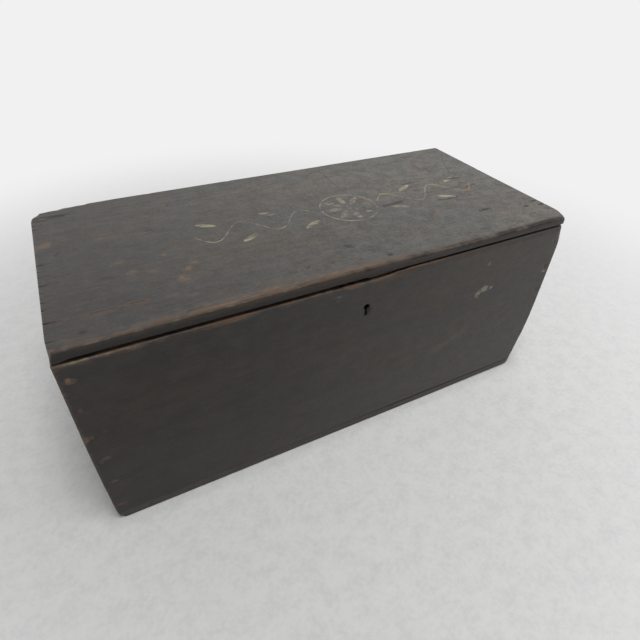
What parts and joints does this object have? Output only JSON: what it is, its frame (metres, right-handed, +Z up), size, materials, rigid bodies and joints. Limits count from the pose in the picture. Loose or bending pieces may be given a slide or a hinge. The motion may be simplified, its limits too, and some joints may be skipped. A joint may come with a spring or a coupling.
{
  "type": "storage chest",
  "caption": "Small rectangular pine chest in worn dark paint, with a one-board hinged lid, a bare keyhole and a sliding-bolt lock, for papers and keepsakes.",
  "frame": {"origin": "middle of the case's underside, where the chest stands", "axes": "+X along the chest's length to the right as seen from the front, -Y out of the front with the keyhole, +Z up"},
  "size_m": [0.658, 0.3003, 0.277],
  "materials": {
    "painted_pine": "old charcoal paint on pine, worn to brown at the arrises, bare pine inside",
    "painted_pine_lid": "old charcoal paint on pine, rubbed and scratched",
    "nail_iron": "rusted, painted over outside",
    "hinge_iron": "dark, lightly rusted",
    "screw_iron": "dark, rubbed bright on the head",
    "lock_iron": "dark hammered iron",
    "lock_steel": "worn bright where it rubs"
  },
  "bodies": {
    "case": {"front_board": "painted_pine", "back_board": "painted_pine", "left_end_board": "painted_pine", "right_end_board": "painted_pine", "bottom_board": "painted_pine", "front_nails": "nail_iron", "back_nails": "nail_iron", "bottom_nails": "nail_iron", "left_hinge_case_leaf": "hinge_iron", "right_hinge_case_leaf": "hinge_iron", "left_hinge_pin": "hinge_iron", "right_hinge_pin": "hinge_iron", "case_hinge_screws": "screw_iron", "lock_plate": "lock_iron", "lock_bridle": "lock_iron", "lock_stump": "lock_iron", "lock_key_pin": "lock_steel", "lock_ward": "lock_iron", "lock_nails": "nail_iron"},
    "lid": {"lid_board": "painted_pine_lid", "left_hinge_lid_leaf": "hinge_iron", "right_hinge_lid_leaf": "hinge_iron", "lid_hinge_screws": "screw_iron", "lid_staple": "lock_iron", "staple_screws": "screw_iron"},
    "bolt": {"lock_bolt": "lock_steel", "lock_spring": "lock_steel"}
  },
  "joints": [
    {"name": "lid_hinge", "type": "hinge", "parent": "case", "child": "lid", "pos_m": [0, 0.1484, 0.25975], "axis": [-1, 0, 0], "range_deg": [0, 180]},
    {"name": "bolt_slide", "type": "slide", "parent": "case", "child": "bolt", "axis": [1, 0, 0], "range_m": [0, 0.008]}
  ]
}
